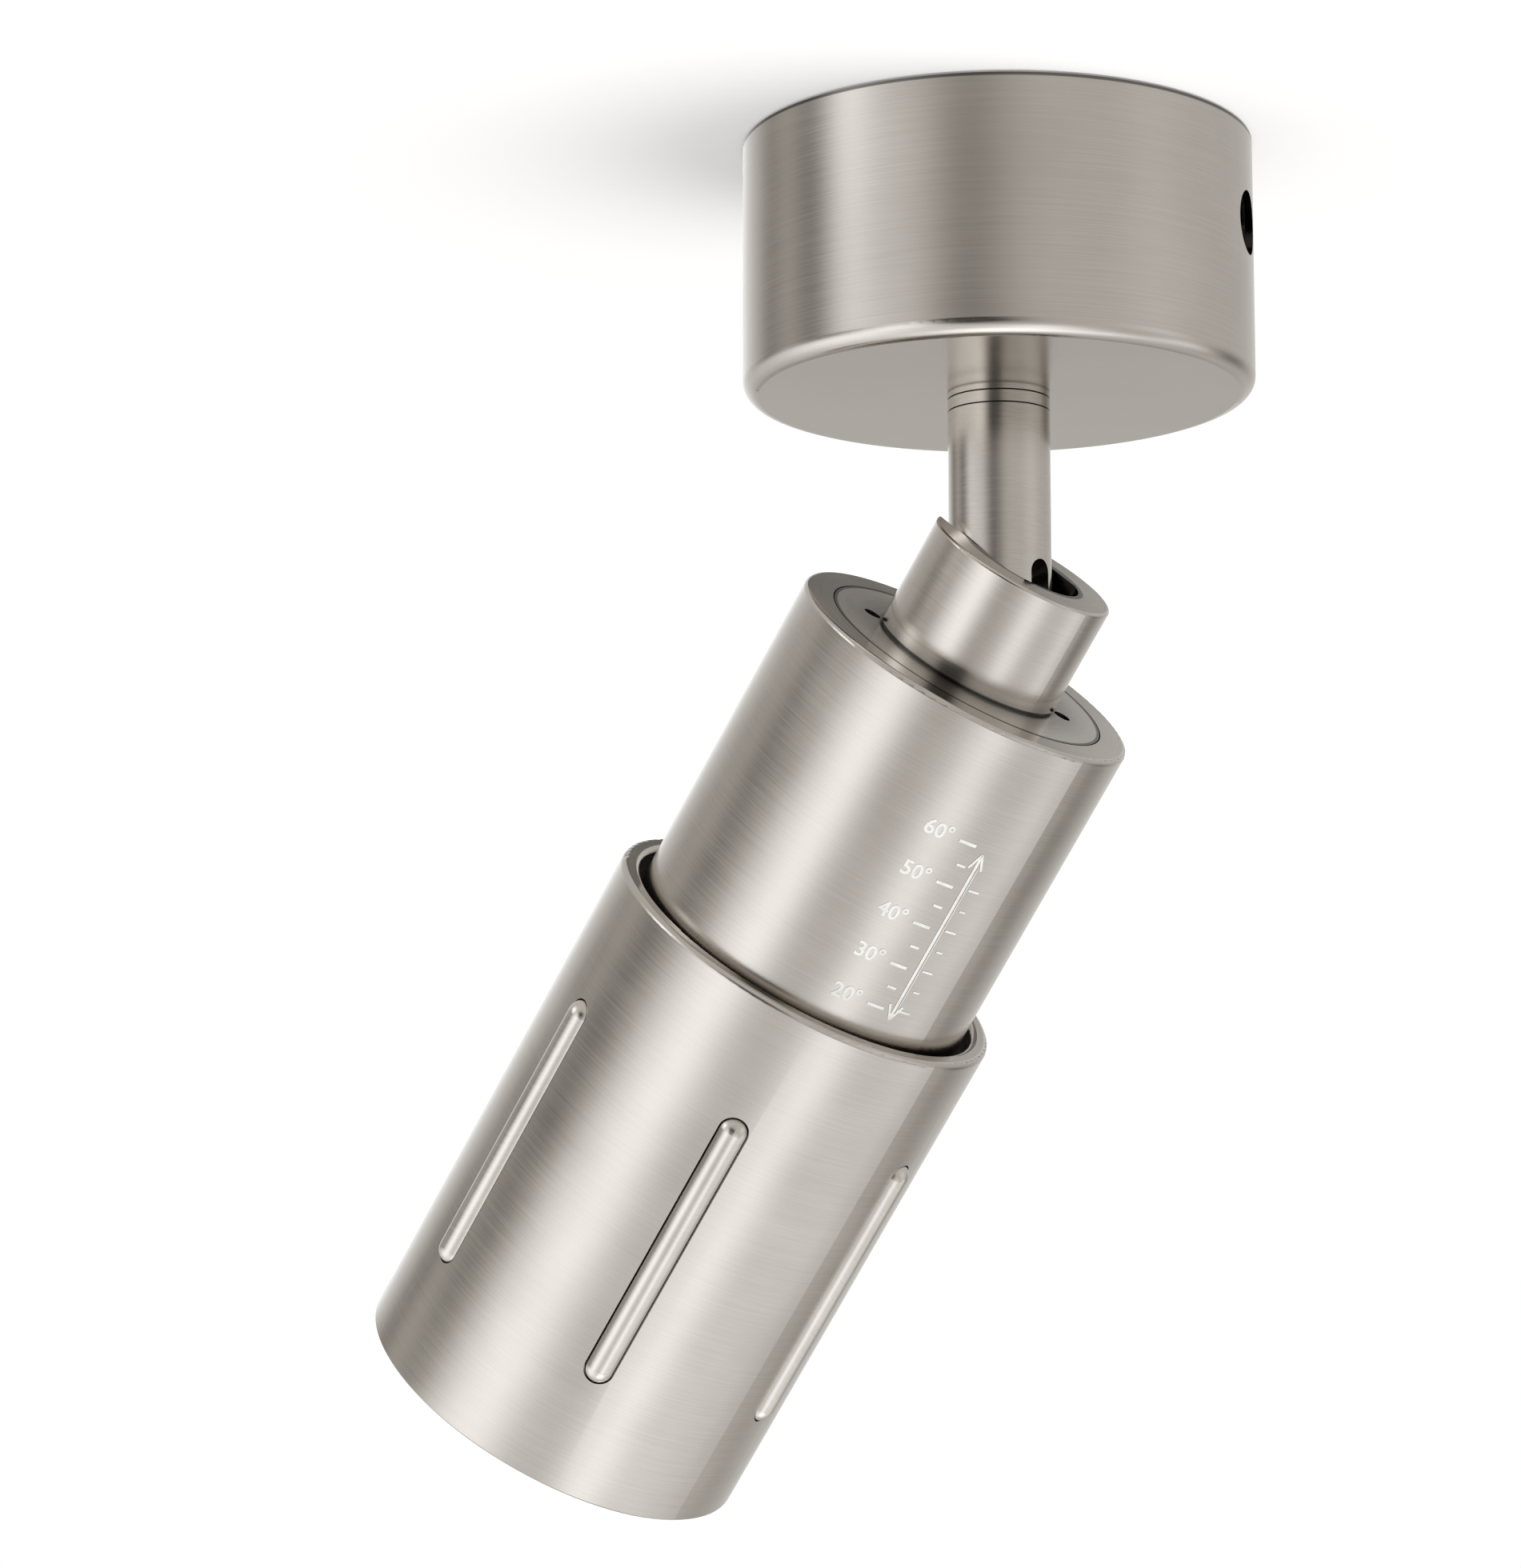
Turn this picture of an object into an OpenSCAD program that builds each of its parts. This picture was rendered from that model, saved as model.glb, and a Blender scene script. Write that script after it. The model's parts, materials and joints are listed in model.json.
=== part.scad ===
// Surface mounted ceiling spotlight: a canopy on the ceiling, a stem that pans on it, and a tilting
// lamp head whose outer sleeve slides to change the beam angle.
// The origin is the centre of the canopy's ceiling face; the lamp hangs towards -Z.

/* [Canopy] */
// Outer diameter of the canopy
canopy_d = 100; // [96:1:130]
// Height of the canopy from the ceiling to its underside
canopy_h = 50; // [44:1:52]
// Wall and floor thickness of the canopy
canopy_wall = 1.5; // [1.2:0.1:2.4]
// Outer rounding of the canopy's lower edge
canopy_round = 3; // [2:0.25:5]
// Diameter of the cable hole in the side wall
cable_hole_d = 12.5; // [8:0.5:14]
// Depth of the cable hole's centre below the ceiling
cable_hole_drop = 19; // [18:0.5:24]
// Direction of the cable hole, in degrees from +X
cable_hole_turn = -17; // [-25:0.5:25]

/* [Mounting strap] */
// Width of the strap
strap_w = 20; // [18:1:24]
// Thickness of the strap
strap_t = 2; // [1.5:0.25:2.5]
// Height of the ears bent down at the strap's ends
ear_h = 12.5; // [11.5:0.5:14]
// Distance between the centres of the two ceiling screw slots
slot_spacing = 60; // [54:1:64]
// Width of a ceiling screw slot
slot_w = 5; // [4:0.5:6]
// Length of a ceiling screw slot, end to end
slot_l = 12; // [9:0.5:14]
// Diameter of the supply cable's hole
supply_hole_d = 12; // [8:0.5:14]
// Diameter of the two canopy screws
canopy_screw_d = 4; // [3:0.5:5]
// Length of a canopy screw
canopy_screw_l = 9; // [7:0.5:11]
// Depth of the canopy screws below the ceiling
canopy_screw_drop = 7.5; // [7:0.5:9]
// Diameter of the earth screw
earth_screw_d = 4; // [3:0.5:5]
// Length of the earth screw's shank
earth_screw_l = 8; // [6:0.5:10]

/* [Driver and terminals] */
// Length of the driver
driver_l = 56; // [46:1:60]
// Width of the driver
driver_w = 20; // [16:1:21]
// Height of the driver
driver_h = 24; // [18:1:30]
// Corner rounding of the driver
driver_round = 3; // [1:0.5:5]
// Number of wires that the terminal block takes
terminal_poles = 3; // [2:1:4]
// Distance between the wires in the terminal block
terminal_pitch = 9; // [7:0.5:10]
// Width of the terminal block
terminal_w = 14; // [11:0.5:16]
// Height of the terminal block
terminal_h = 13; // [10:0.5:18]
// Diameter of a wire entry in the terminal block
terminal_entry_d = 4; // [2.5:0.5:5]
// Thickness of the pads that hold the driver and the terminal block
pad_t = 0.8; // [0.5:0.1:1.5]

/* [Swivel] */
// Thickness of the bush's flange under the canopy
flange_t = 0.6; // [0.5:0.1:1.5]
// Thickness of a pan washer
pan_washer_t = 0.3; // [0.2:0.05:0.6]
// Height of the ring between the pan washers
swivel_ring_h = 2.2; // [1.5:0.1:4]
// Depth of the dark seam at a pan washer
seam_depth = 0.6; // [0.3:0.1:1]
// Wall of the bush in the canopy's floor
bush_wall = 2; // [1.2:0.1:2.5]
// Outer diameter of the threaded pan tube
pan_tube_d = 12; // [10:0.5:12.5]
// Bore of the pan tube
pan_tube_bore_d = 8; // [5:0.5:9]
// Length of the pan tube that is screwed into the stem
pan_tube_grip = 14; // [8:1:18]
// Thickness of the stop washer
stop_washer_t = 1.2; // [0.8:0.1:2]
// Width of the tab on the stop washer
stop_tab_w = 2; // [1.5:0.25:3]
// Diameter of the stop pin in the canopy's floor
stop_pin_d = 2; // [1.5:0.25:2.5]
// Height of the wave washer
wave_washer_t = 1; // [0.6:0.1:1.5]
// Width across the flats of the lock nut
lock_nut_af = 18; // [17:0.5:20]
// Height of the lock nut
lock_nut_h = 5; // [3:0.5:7]

/* [Stem] */
// Diameter of the stem
stem_d = 20; // [19:0.25:20.5]
// Depth of the tilt axis below the ceiling
pivot_drop = 91.6; // [90:0.1:120]
// Width of the cable slot in the stem
cable_slot_w = 5.4; // [4:0.1:7]
// Height of the cable slot's round top above the tilt axis
cable_slot_rise = 8; // [7:0.25:10]
// Distance from the stem's axis to the floor of the cable slot
cable_slot_floor = 3.6; // [3.2:0.1:5]
// Diameter of the pivot screw's shank
pivot_d = 5; // [4:0.25:5.5]
// Distance between the flats on the stem's ball end
ball_flats = 16.6; // [15:0.1:17.5]

/* [Neck] */
// Outer diameter of the neck
neck_d = 38; // [36:0.5:42]
// Bore of the neck
neck_bore_d = 24; // [23.2:0.1:25]
// Distance between the flats inside the neck
neck_flats = 21.6; // [21.2:0.1:22.5]
// Height of the neck's rim above the tilt axis
neck_rise = 9.5; // [8:0.25:14]
// Depth of the lamp body's upper face below the tilt axis
neck_drop = 13.4; // [13:0.1:20]
// Rounding of the neck's upper edge
neck_round = 0.6; // [0.3:0.1:1.2]
// Width of the slot that lets the stem lean out of the neck
lean_slot_w = 21; // [20.8:0.1:22]
// Wall of the neck's spigot in the end disc
spigot_wall = 2; // [1.2:0.1:3]
// Height of the nut under the end disc
neck_nut_h = 4; // [3:0.25:5]
// Radial width of the nut under the end disc
neck_nut_w = 4.5; // [3:0.25:6]

/* [Lamp body] */
// Outer diameter of the body
body_d = 71; // [66:0.1:80]
// Length of the body
body_l = 120; // [118:1:130]
// Wall of the body around the heat sink
body_wall = 2.7; // [2.4:0.1:3.5]
// Rounding of the body's upper edge
body_round = 1; // [0.4:0.1:2]
// Width of the body's rim round the end disc
body_rim = 6.2; // [5.2:0.1:8]
// Thickness of the end disc
disc_t = 4.5; // [4:0.25:6]
// Width of the dark line round the end disc
disc_gap = 0.25; // [0.1:0.05:0.4]
// Diameter of the two pin spanner holes
spanner_hole_d = 3.5; // [1.5:0.25:4]
// Distance between the pin spanner holes
spanner_spacing = 42; // [40:0.2:50]
// Direction of the pin spanner holes round the head, in degrees
spanner_turn = 41; // [0:1:180]
// Depth of the step that stops the heat sink, below the body's upper face
head_room = 14; // [11:0.5:16]
// Height of a glide ring
glide_h = 4; // [3:0.25:6]
// Distance from the body's lower end to its glide ring
glide_rise = 3.4; // [2:0.2:6]
// Diameter of the guide pin
guide_pin_d = 4; // [3:0.25:5]
// Distance from the body's lower end to the guide pin
guide_pin_rise = 12.4; // [11:0.2:16]
// Direction of the guide pin round the head, in degrees
guide_turn = 104; // [100:1:108]

/* [Heat sink and light source] */
// Thickness of a fin
fin_t = 2; // [1:0.1:3]
// Number of fins
fin_count = 20; // [12:1:24]
// Diameter of the heat sink's core
sink_core_d = 24; // [16:1:40]
// Thickness of the heat sink's base
sink_base_t = 6; // [5:0.5:8]
// Thickness of the ring that holds the heat sink
sink_ring_t = 1.5; // [1:0.1:2]
// Side of the square LED board
board_side = 24; // [20:0.5:24]
// Thickness of the LED board
board_t = 1.6; // [1:0.1:2]
// Thickness of the thermal pad
thermal_pad_t = 0.5; // [0.2:0.1:1]
// Diameter of the LED's light emitting face
emitter_d = 13; // [8:0.5:14]
// Thickness of the LED's light emitting layer
emitter_t = 1; // [0.5:0.1:1.5]
// Diameter of the LED holder
holder_d = 44; // [43:0.5:48]
// Height of the LED holder
holder_h = 5; // [4.5:0.25:6]
// Diameter of the holder screws
holder_screw_d = 3; // [2.5:0.25:3.5]
// Diameter of the wire hole in the heat sink's base
wire_hole_d = 5; // [4:0.25:5.5]
// Depth of the reflector
reflector_h = 11; // [8:0.5:12]
// Diameter of the reflector's mouth
reflector_mouth_d = 52; // [44:1:56]
// Distance from the body's lower end to the reflector's mouth
reflector_inset = 6; // [5:0.5:12]
// Wall of the reflector
reflector_t = 1.2; // [0.8:0.1:2]

/* [Zoom sleeve] */
// Wall of the sleeve
sleeve_wall = 3.9; // [3.2:0.1:5]
// Gap between the body and the sleeve, which the glide rings fill
sleeve_gap = 1.6; // [1.2:0.1:2]
// Length of the sleeve
sleeve_l = 110; // [108:1:120]
// Distance from the body's upper face to the sleeve's rim, with the sleeve drawn out
sleeve_drop = 66.3; // [64:0.1:68]
// Travel of the sleeve from drawn out to pushed in
zoom_travel = 37; // [30:1:40]
// Rounding of both edges of the sleeve's rim
sleeve_round = 1.2; // [0.5:0.1:1.6]
// Chamfer of the sleeve's lower outer edge
sleeve_chamfer = 0.3; // [0.1:0.1:1]
// Distance from the sleeve's rim to its glide ring
sleeve_glide_drop = 8; // [5:0.5:14]
// Depth of a glide ring's groove
glide_groove = 1; // [0.6:0.1:1.2]
// Depth of the groove that the guide pin runs in
guide_groove = 1.6; // [1:0.1:1.8]
// Number of grip bars
bar_count = 6; // [3:3:6]
// Length of a grip bar
bar_l = 62; // [40:1:74]
// Width of a grip bar
bar_w = 6; // [5:0.2:8]
// Height of a grip bar above the sleeve
bar_proud = 1.8; // [1:0.1:2]
// Depth of a grip bar's pocket in the sleeve
bar_pocket = 1.6; // [1:0.1:1.8]
// Direction of the first grip bar round the head, in degrees
bar_turn = 14; // [10:1:18]

/* [Lens] */
// Depth of the lens seat from the sleeve's lower end
lens_seat_depth = 12; // [11:0.5:13]
// Width of the shoulder that carries the lens
lens_shoulder = 1.4; // [1:0.1:1.8]
// Thickness of the lens gasket
gasket_t = 0.8; // [0.5:0.1:1.2]
// Thickness of the lens at its edge
lens_edge_t = 4; // [3:0.25:5]
// Radius of the lens's curved face
lens_curve_r = 60; // [56:1:120]
// Height of the ring that holds the lens
lens_ring_h = 5; // [4:0.25:5.5]
// Radial width of the ring that holds the lens
lens_ring_w = 3.6; // [2.5:0.1:5]

/* [Pose] */
// Tilt of the lamp head from straight down, in degrees
head_tilt = 37.8; // [0:0.1:90]
// Direction of the head's upper end round the stem, in degrees from +X
head_turn = -40.4; // [-165:0.1:165]

/* [Hidden] */
$fn = 96;
nickel = [0.77, 0.74, 0.70];
steel = [0.72, 0.72, 0.72];
brass = [0.80, 0.66, 0.36];
zinc = [0.66, 0.67, 0.68];
aluminium = [0.84, 0.85, 0.86];
white_plastic = [0.93, 0.93, 0.91];
black_plastic = [0.10, 0.10, 0.10];
glass = [0.85, 0.92, 0.94, 0.5];

// Clearances: between fitted pieces, between shaft and bore, between sliding rings, along a pin
fit_gap = 0.1;
run_gap = 0.05;
glide_gap = 0.3;
face_gap = 0.05;
screw_gap = 0.3;
strap_gap = 0.2;
part_gap = 1.5;
// Overrun of every cut past the face that it opens
over = 1;

// Canopy
canopy_r = canopy_d / 2;
canopy_in_r = canopy_r - canopy_wall;
canopy_in_round = canopy_round / 2;
screw_hole_r = canopy_screw_d / 2 + screw_gap;
floor_depth = canopy_h - canopy_wall;

// Strap: its ears stand just inside the canopy's wall
ear_face = sqrt(pow(canopy_in_r, 2) - pow(strap_w / 2, 2)) - strap_gap;
earth_x = (supply_hole_d / 2 + slot_spacing / 2 - slot_l / 2) / 2;
earth_head_r = earth_screw_d * 0.9;
earth_head_h = earth_screw_d * 0.6;
screw_socket_share = 0.5;

// Driver against the rear of the canopy, terminal block against the front
driver_y = sqrt(pow(canopy_in_r - part_gap, 2) - pow(driver_l / 2, 2)) - driver_w;
terminal_l = terminal_poles * terminal_pitch + terminal_pitch / 3;
terminal_y = sqrt(pow(canopy_in_r - part_gap, 2) - pow(terminal_l / 2, 2));
terminal_screw_d = terminal_entry_d * 0.9;
terminal_gap = terminal_pitch * 0.1;

// Swivel stack, as depths below the ceiling
stem_r = stem_d / 2;
pan_r = pan_tube_d / 2;
bush_r = pan_r + run_gap + bush_wall;
upper_washer_depth = canopy_h + flange_t;
swivel_ring_depth = upper_washer_depth + pan_washer_t;
lower_washer_depth = swivel_ring_depth + swivel_ring_h;
stem_depth = lower_washer_depth + pan_washer_t;
stop_washer_depth = floor_depth - stop_washer_t;
wave_washer_depth = stop_washer_depth - wave_washer_t;
lock_nut_depth = wave_washer_depth - lock_nut_h;
lock_nut_r = lock_nut_af / 2 / cos(30);
pan_tube_rise = pan_tube_d / 6;
stop_washer_r = lock_nut_r + run_gap;
stop_pin_r = stop_washer_r + stop_pin_d * 0.8;
stop_tab_r = stop_pin_r + stop_pin_d * 0.7;

// Stem below its top seam, and its pivot
stem_l = pivot_drop - stem_depth;
pivot_r = pivot_d / 2;
pivot_web = pivot_d * 0.4;
tilt_washer_r = sqrt(pow(neck_bore_d / 2, 2) - pow(neck_flats / 2, 2)) - face_gap;
tilt_washer_t = (neck_flats - ball_flats) / 2 - 2 * face_gap;
pivot_head_r = pivot_d * 0.85;
pivot_head_h = pivot_d * 0.56;
pivot_head_seat = neck_d / 2 - pivot_head_h - pivot_d * 0.12;
pivot_tip = neck_d / 2 - pivot_d * 0.5;

// Neck and lamp body, as depths below the tilt axis
neck_r = neck_d / 2;
neck_bore_r = neck_bore_d / 2;
spigot_r = neck_bore_r + spigot_wall;
neck_flat_drop = tilt_washer_r + pivot_d * 0.4;
neck_undercut = neck_round;
neck_nut_r = spigot_r + neck_nut_w;
neck_nut_notches = 4;
body_r = body_d / 2;
disc_r = body_r - body_rim;
disc_shoulder_w = disc_t * 0.6;
disc_shoulder_t = disc_t * 0.5;
nut_depth = neck_drop + disc_t;
spigot_end = nut_depth + neck_nut_h;
spanner_hole_depth = disc_t * 0.6;
body_upper_r = body_r - body_wall * 1.5;
body_bore_r = body_r - body_wall;
step_depth = neck_drop + head_room;
body_end = neck_drop + body_l;
glide_depth = body_end - glide_rise - glide_h;
guide_pin_depth = body_end - guide_pin_rise;
guide_pin_r = guide_pin_d / 2;

// Heat sink and light source, as depths below the tilt axis
sink_r = body_bore_r - glide_gap;
sink_end = body_end - reflector_inset - reflector_h - holder_h;
fin_l = sink_end - sink_base_t - step_depth;
sink_ring_cut = body_wall / 3;
sink_ring_w = body_wall * 0.9;
wire_hole_turn = (floor(fin_count / 4) + 0.5) * 360 / fin_count;
grommet_t = wire_hole_d / 5;
grommet_r = wire_hole_d / 2 + grommet_t;
wire_hole_x = body_bore_r - sink_ring_w - grommet_r - part_gap;
holder_r = holder_d / 2;
holder_end = sink_end + holder_h;
holder_window_r = emitter_d / 2 + board_t;
holder_mouth_r = board_side * 0.55;
holder_screw_x = (board_side / 2 + holder_r) / 2 + holder_screw_d * 0.3;
holder_screw_head_r = holder_screw_d * 0.9;
holder_screw_head_h = holder_screw_d * 0.6;
holder_screw_seat = holder_end - holder_screw_head_h;
holder_screw_grip = sink_base_t * 0.8;
reflector_mouth_r = reflector_mouth_d / 2;
reflector_seat_r = holder_mouth_r + reflector_t / 2;

// Zoom sleeve, as depths below its own rim
sleeve_bore_r = body_r + sleeve_gap;
sleeve_r = sleeve_bore_r + sleeve_wall;
guide_from = body_l - guide_pin_rise - sleeve_drop;
guide_length = zoom_travel + guide_pin_d + 2 * glide_gap;
bar_r = bar_w / 2;
bar_axis_r = sleeve_r + bar_proud - bar_r;
bar_floor_r = sleeve_r - bar_pocket;
bar_pitch = 360 / bar_count;

// Lens, as depths below the sleeve's rim
lens_seat = sleeve_l - lens_seat_depth;
lens_bore_r = sleeve_bore_r + lens_shoulder;
lens_r = lens_bore_r - fit_gap;
lens_depth = lens_seat + gasket_t;
lens_dome_r = sleeve_bore_r - glide_gap;
lens_ring_depth = lens_depth + lens_edge_t;
lens_ring_r = lens_r - lens_ring_w;

// Round bar that starts at a depth and runs down
module bar(depth, h, r) {
    translate([0, 0, -depth - h]) cylinder(h = h, r = r);
}

// Bar with a bore right through it
module tube(depth, h, outer, inner) {
    difference() {
        bar(depth, h, outer);
        bar(depth - over, h + 2 * over, inner);
    }
}

// Round bar along +X, or along -X or +-Y after a turn, at a depth
module side_bar(from, to, r, depth = 0, turn = 0) {
    rotate([0, 0, turn]) translate([from, 0, -depth]) rotate([0, 90, 0]) cylinder(h = to - from, r = r);
}

// Flat outline with round ends, along the second axis of the plane
module stadium(l, w) {
    translate([-w / 2, -l / 2 + w / 2]) square([w, l - w]);
    for (end = [-1, 1]) translate([0, end * (l / 2 - w / 2)]) circle(d = w);
}

// Upright slot with round ends, cut from one radius out to another
module side_slot(from, to, l, w, depth) {
    translate([from, 0, -depth]) rotate([90, 0, 90]) linear_extrude(to - from) stadium(l, w);
}

// Half of a full disc, on the side of the revolve
module half_disc(r) {
    intersection() {
        circle(r);
        translate([0, -r]) square([r, 2 * r]);
    }
}

// Half section of a round block that hangs from depth zero, with its lower edge rounded
module cup_section(r, h, edge, top = 0) {
    translate([0, -h + edge]) square([r, h - edge + top]);
    translate([0, -h]) square([r - edge, h + top]);
    translate([r - edge, -h + edge]) circle(edge);
}

// Piece to take off a square upper corner of a half section, to round it
module corner_cut(r, edge, side = 1) {
    difference() {
        translate([side > 0 ? r - edge : r - over, -edge]) square([edge + over, edge + over]);
        translate([r - side * edge, -edge]) circle(edge);
    }
}

// The pieces that pan stand round the tilt axis, turned with the head
module at_pivot() {
    translate([0, 0, -pivot_drop]) rotate([0, 0, head_turn]) children();
}

// The lamp head hangs from the tilt axis
module at_head() {
    at_pivot() rotate([0, head_tilt, 0]) children();
}

// The sleeve's rim lies below the body's upper face
module at_sleeve() {
    at_head() translate([0, 0, -neck_drop - sleeve_drop]) children();
}

module canopy() {
    color(nickel) difference() {
        rotate_extrude() difference() {
            cup_section(canopy_r, canopy_h, canopy_round);
            cup_section(canopy_in_r, floor_depth, canopy_in_round, over);
        }
        bar(floor_depth - over, canopy_wall + 2 * over, bush_r + fit_gap);
        side_bar(canopy_r / 2, canopy_r + over, cable_hole_d / 2, cable_hole_drop, cable_hole_turn);
        for (turn = [0, 180])
            side_bar(canopy_r / 2, canopy_r + over, screw_hole_r, canopy_screw_drop, turn);
        translate([-stop_pin_r, 0, 0])
            bar(floor_depth - over, over + canopy_wall / 2, stop_pin_d / 2 + run_gap);
    }
}

module mounting_strap() {
    color(zinc) difference() {
        union() {
            translate([-ear_face, -strap_w / 2, -strap_t]) cube([2 * ear_face, strap_w, strap_t]);
            for (turn = [0, 180])
                rotate([0, 0, turn]) translate([ear_face - strap_t, -strap_w / 2, -ear_h])
                    cube([strap_t, strap_w, ear_h]);
        }
        bar(-over, strap_t + 2 * over, supply_hole_d / 2);
        translate([earth_x, 0, 0]) bar(-over, strap_t + 2 * over, earth_screw_d / 2 + run_gap);
        for (side = [-1, 1])
            translate([side * slot_spacing / 2, 0, -strap_t - over]) rotate([0, 0, 90])
                linear_extrude(strap_t + 2 * over) stadium(slot_l, slot_w);
        for (turn = [0, 180])
            side_bar(canopy_r / 2, canopy_r, canopy_screw_d / 2 + run_gap, canopy_screw_drop, turn);
    }
}

// Two socket screws, flush with the canopy and threaded through the strap's ears
module canopy_screws() {
    socket = canopy_screw_d * screw_socket_share;
    tail = canopy_r - canopy_screw_l;
    color(steel) for (turn = [0, 180]) difference() {
        side_bar(tail, canopy_r - fit_gap, canopy_screw_d / 2, canopy_screw_drop, turn);
        rotate([0, 0, turn]) translate([canopy_r - socket, 0, -canopy_screw_drop])
            rotate([0, 90, 0]) cylinder(h = socket + over, d = socket, $fn = 6);
    }
}

module earth_screw() {
    color(brass) translate([earth_x, 0, 0]) difference() {
        union() {
            bar(0, earth_screw_l, earth_screw_d / 2);
            bar(strap_t, earth_head_h, earth_head_r);
        }
        translate([-earth_screw_d / 8, -earth_head_r, -earth_screw_l - over])
            cube([earth_screw_d / 4, 2 * earth_head_r, over + earth_screw_d / 4]);
    }
}

// Block with one through entry and one screw well for each wire
module terminal_block() {
    color(white_plastic) translate([0, -terminal_y, -floor_depth + pad_t]) difference() {
        translate([-terminal_l / 2, 0, 0]) cube([terminal_l, terminal_w, terminal_h]);
        for (pole = [0 : terminal_poles - 1])
            translate([(pole - (terminal_poles - 1) / 2) * terminal_pitch, 0, 0]) {
                translate([0, -over, terminal_h / 2]) rotate([-90, 0, 0])
                    cylinder(h = terminal_w + 2 * over, d = terminal_entry_d);
                translate([0, terminal_w / 2, terminal_h / 2])
                    cylinder(h = terminal_h, d = terminal_screw_d);
            }
        for (gap = [1 : terminal_poles - 1])
            translate([(gap - terminal_poles / 2) * terminal_pitch, 0, terminal_h * 0.75])
                translate([-terminal_gap / 2, -over, 0])
                    cube([terminal_gap, terminal_w + 2 * over, terminal_h]);
    }
}

// Driver case, with a lid that stands inside the case's outline
module led_driver() {
    lid_share = 0.12;
    lid_h = driver_h * lid_share;
    color(white_plastic) translate([0, driver_y + driver_w / 2, -floor_depth + pad_t]) {
        linear_extrude(driver_h - lid_h) driver_outline(0);
        translate([0, 0, driver_h - lid_h]) linear_extrude(lid_h) driver_outline(driver_round / 4);
    }
}

module driver_outline(inset) {
    long = driver_l / 2 - inset;
    short = driver_w / 2 - inset;
    corner = driver_round;
    square([2 * (long - corner), 2 * short], center = true);
    square([2 * long, 2 * (short - corner)], center = true);
    for (x = [-1, 1], y = [-1, 1])
        translate([x * (long - corner), y * (short - corner)]) circle(corner);
}

// Foam pads under the driver and under the terminal block
module driver_pads() {
    color(black_plastic) translate([0, 0, -floor_depth]) {
        translate([-driver_l / 2 + driver_round, driver_y + driver_round, 0])
            cube([driver_l - 2 * driver_round, driver_w - 2 * driver_round, pad_t]);
        translate([-terminal_l / 2 + pad_t, -terminal_y + pad_t, 0])
            cube([terminal_l - 2 * pad_t, terminal_w - 2 * pad_t, pad_t]);
    }
}

// Flanged bush that lines the hole in the canopy's floor
module swivel_bush() {
    color(nickel) difference() {
        union() {
            bar(canopy_h, flange_t, stem_r);
            bar(floor_depth + fit_gap, canopy_wall, bush_r);
        }
        bar(floor_depth - over, canopy_wall + flange_t + 2 * over, pan_r + run_gap);
    }
}

module stop_pin() {
    color(steel) translate([-stop_pin_r, 0, 0])
        bar(stop_washer_depth - stop_washer_t, 2 * stop_washer_t + canopy_wall / 2, stop_pin_d / 2);
}

// Stem with a ball end: bored for the cable, slotted where the cable leaves, and drilled for the pivot
module stem() {
    slot_h = cable_slot_rise + stem_r + over + cable_slot_w;
    color(nickel) at_pivot() difference() {
        rotate_extrude() {
            half_disc(stem_r);
            square([stem_r, stem_l]);
        }
        bar(-stem_l - over, stem_l + over - pivot_r - pivot_web, pan_r + run_gap);
        side_slot(cable_slot_floor, stem_r + over, slot_h, cable_slot_w, slot_h / 2 - cable_slot_rise);
        for (turn = [90, -90])
            side_bar(ball_flats / 2, stem_r + over, tilt_washer_r + screw_gap, 0, turn);
        side_bar(-stem_r - over, stem_r + over, pivot_r + run_gap, 0, 90);
    }
}

module swivel_ring() {
    color(nickel) tube(swivel_ring_depth, swivel_ring_h, stem_r, pan_r + run_gap);
}

module pan_washers() {
    color(black_plastic) for (depth = [upper_washer_depth, lower_washer_depth])
        tube(depth, pan_washer_t, stem_r - seam_depth, pan_r + run_gap);
}

module pan_tube() {
    color(brass) tube(lock_nut_depth - pan_tube_rise,
        stem_depth + pan_tube_grip - lock_nut_depth + pan_tube_rise, pan_r, pan_tube_bore_d / 2);
}

// Washer keyed to the pan tube, whose tab meets the stop pin after almost a full turn
module stop_washer() {
    color(zinc) difference() {
        union() {
            bar(stop_washer_depth, stop_washer_t, stop_washer_r);
            translate([0, -stop_tab_w / 2, -stop_washer_depth - stop_washer_t])
                cube([stop_tab_r, stop_tab_w, stop_washer_t]);
        }
        bar(stop_washer_depth - over, stop_washer_t + 2 * over, pan_r + run_gap);
    }
}

module wave_washer() {
    color(steel) tube(wave_washer_depth, wave_washer_t, lock_nut_af / 2, pan_r + run_gap);
}

module lock_nut() {
    color(zinc) difference() {
        translate([0, 0, -lock_nut_depth - lock_nut_h])
            cylinder(h = lock_nut_h, r = lock_nut_r, $fn = 6);
        bar(lock_nut_depth - over, lock_nut_h + 2 * over, pan_r + run_gap);
    }
}

// Half section of the neck: rounded rim, undercut foot and the spigot that passes the end disc
module neck_section() {
    difference() {
        translate([0, -neck_drop]) square([neck_r, neck_drop + neck_rise]);
        translate([0, neck_rise]) corner_cut(neck_r, neck_round);
        translate([neck_r - neck_undercut, -neck_drop - over])
            square([neck_undercut + over, over + neck_undercut]);
    }
    translate([0, -spigot_end]) square([spigot_r, spigot_end]);
}

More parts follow.
